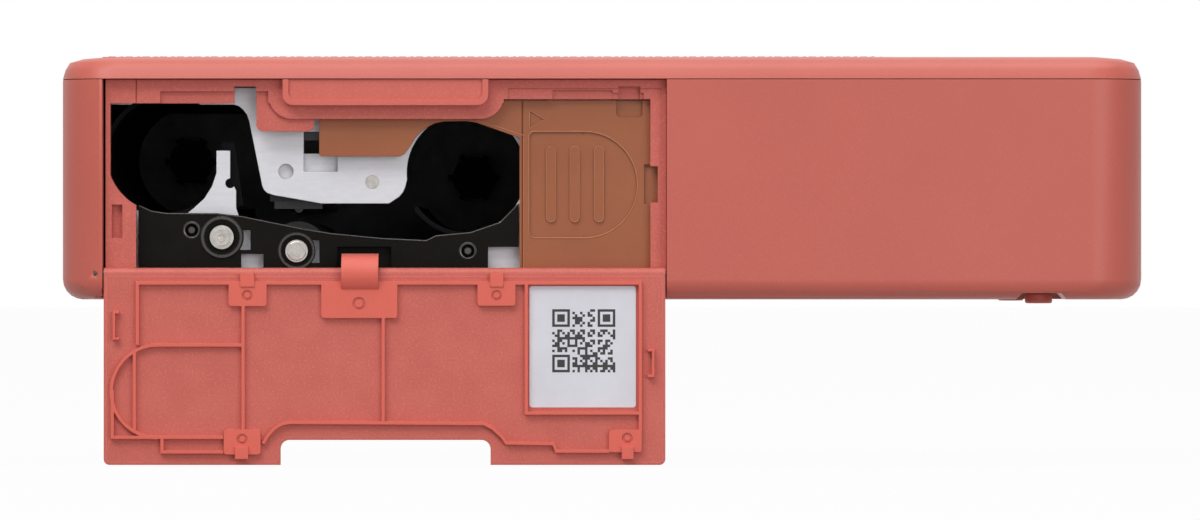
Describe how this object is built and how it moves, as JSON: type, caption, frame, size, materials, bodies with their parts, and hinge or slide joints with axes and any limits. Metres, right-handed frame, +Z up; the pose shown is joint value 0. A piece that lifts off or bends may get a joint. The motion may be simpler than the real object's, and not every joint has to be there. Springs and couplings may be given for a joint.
{
  "type": "compact photo printer",
  "caption": "Flat slab photo printer with a hanging ink door on its side, a print engine with spool chambers behind it, a paper flap at one end and a top button.",
  "frame": {"origin": "centre of the flat underside of the body; the feet reach a little below it and the open ink door hangs lower", "axes": "+X along the length towards the end with the cable port, -Y out of the side with the ink door, +Z up"},
  "size_m": [0.1458, 0.1041, 0.0549],
  "materials": {
    "coral_shell": "satin pearl coral moulding",
    "label_film": "satin pale grey film",
    "steel": "bright pressed or turned steel",
    "black_plastic": "moulded black",
    "brown_plastic": "satin brown moulding",
    "button_cap": "smooth pale cap",
    "lens": "clear light pipe",
    "gear_plastic": "ivory acetal",
    "bush_plastic": "dark acetal",
    "roller_rubber": "ground rubber",
    "print_head": "glazed strip on a ceramic bar",
    "sink_aluminium": "extruded fins",
    "brake_felt": "felt ring",
    "board_green": "solder mask",
    "chips": "moulded components",
    "cell": "wrapped cell"
  },
  "bodies": {
    "case": {"top_cover": "coral_shell", "bottom_case": "coral_shell", "bay_frame": "coral_shell", "feet": "coral_shell", "case_screws": "steel", "status_lens": "lens", "button_board": "board_green", "power_switch": "chips", "near_plate": "steel", "far_plate": "steel", "lower_frame": "black_plastic", "cassette_guide": "black_plastic", "ribbon_bracket": "steel", "cross_brace": "steel", "head_pivot": "steel", "roller_bushes": "bush_plastic", "pinch_bearings": "black_plastic", "drive_motor": "steel", "motor_screws": "steel", "idler_pins": "steel", "supply_brake": "brake_felt", "paper_guide": "black_plastic", "guide_cover": "black_plastic", "battery": "cell", "main_board": "board_green", "board_parts": "chips", "usb_socket": "steel", "board_screws": "steel"},
    "ink_door": {"ink_door": "coral_shell", "door_label": "label_film", "door_pins": "steel"},
    "eject_lever": {"eject_lever": "brown_plastic"},
    "front_flap": {"front_flap": "coral_shell", "flap_pins": "steel"},
    "power_button": {"power_button": "button_cap"},
    "capstan": {"capstan_shaft": "steel", "capstan_gear": "gear_plastic"},
    "platen": {"platen_shaft": "steel", "platen_sleeve": "roller_rubber"},
    "pinch_roller": {"pinch_roller": "steel"},
    "pickup": {"pickup_shaft": "steel", "pickup_roller": "roller_rubber"},
    "motor_pinion": {"motor_pinion": "gear_plastic"},
    "idler_a": {"idler_gear_a": "gear_plastic"},
    "idler_b": {"idler_gear_b": "gear_plastic"},
    "idler_c": {"idler_gear_c": "gear_plastic"},
    "takeup": {"takeup_hub": "black_plastic", "takeup_gear": "gear_plastic"},
    "supply": {"supply_hub": "black_plastic"},
    "print_head": {"head_arm": "black_plastic", "thermal_head": "print_head", "heat_sink": "sink_aluminium"}
  },
  "joints": [
    {"name": "door_hinge", "type": "hinge", "parent": "case", "child": "ink_door", "pos_m": [-0.02885, -0.05035, 0.0035], "axis": [-1, 0, 0], "range_deg": [0, 180]},
    {"name": "eject_slide", "type": "slide", "parent": "case", "child": "eject_lever", "axis": [1, 0, 0], "range_m": [0, 0.003], "stiffness_N_per_m": 120},
    {"name": "flap_hinge", "type": "hinge", "parent": "case", "child": "front_flap", "pos_m": [-0.07165, 0, 0.0037], "axis": [0, -1, 0], "range_deg": [0, 90]},
    {"name": "button_press", "type": "slide", "parent": "case", "child": "power_button", "axis": [0, 0, -1], "range_m": [0, 0.0004], "stiffness_N_per_m": 900},
    {"name": "capstan_spin", "type": "hinge", "parent": "case", "child": "capstan", "pos_m": [-0.0508, 0, 0.00835], "axis": [0, 1, 0], "continuous": true},
    {"name": "platen_spin", "type": "hinge", "parent": "case", "child": "platen", "pos_m": [-0.04075, 0, 0.0065], "axis": [0, 1, 0], "continuous": true},
    {"name": "pinch_spin", "type": "hinge", "parent": "case", "child": "pinch_roller", "pos_m": [-0.0508, 0, 0.011], "axis": [0, 1, 0], "continuous": true},
    {"name": "pickup_spin", "type": "hinge", "parent": "case", "child": "pickup", "pos_m": [-0.0636, 0, 0.0064], "axis": [0, 1, 0], "continuous": true},
    {"name": "takeup_spin", "type": "hinge", "parent": "case", "child": "takeup", "pos_m": [-0.05845, 0, 0.01935], "axis": [0, 1, 0], "continuous": true},
    {"name": "idler_a_spin", "type": "hinge", "parent": "case", "child": "idler_a", "pos_m": [-0.03866, 0, 0.01401], "axis": [0, 1, 0], "continuous": true},
    {"name": "idler_b_spin", "type": "hinge", "parent": "case", "child": "idler_b", "pos_m": [-0.02454, 0, 0.01023], "axis": [0, 1, 0], "continuous": true},
    {"name": "idler_c_spin", "type": "hinge", "parent": "case", "child": "idler_c", "pos_m": [-0.01129, 0, 0.01641], "axis": [0, 1, 0], "continuous": true},
    {"name": "pinion_spin", "type": "hinge", "parent": "case", "child": "motor_pinion", "pos_m": [-0.00098, 0, 0.01731], "axis": [0, 1, 0], "continuous": true},
    {"name": "supply_spin", "type": "hinge", "parent": "case", "child": "supply", "pos_m": [-0.018, 0, 0.01705], "axis": [0, 1, 0], "continuous": true},
    {"name": "head_hinge", "type": "hinge", "parent": "case", "child": "print_head", "pos_m": [-0.03065, 0, 0.01575], "axis": [0, 1, 0], "range_deg": [-4, 0], "stiffness_Nm_per_rad": 0.15}
  ],
  "couplings": [
    {"joint": "takeup_spin", "follows": "capstan_spin", "ratio": -0.83333},
    {"joint": "idler_a_spin", "follows": "capstan_spin", "ratio": -0.83333},
    {"joint": "idler_b_spin", "follows": "capstan_spin", "ratio": 0.83333},
    {"joint": "idler_c_spin", "follows": "capstan_spin", "ratio": -0.83333},
    {"joint": "pinion_spin", "follows": "capstan_spin", "ratio": 2},
    {"joint": "pinch_spin", "follows": "capstan_spin", "ratio": -1.6}
  ]
}
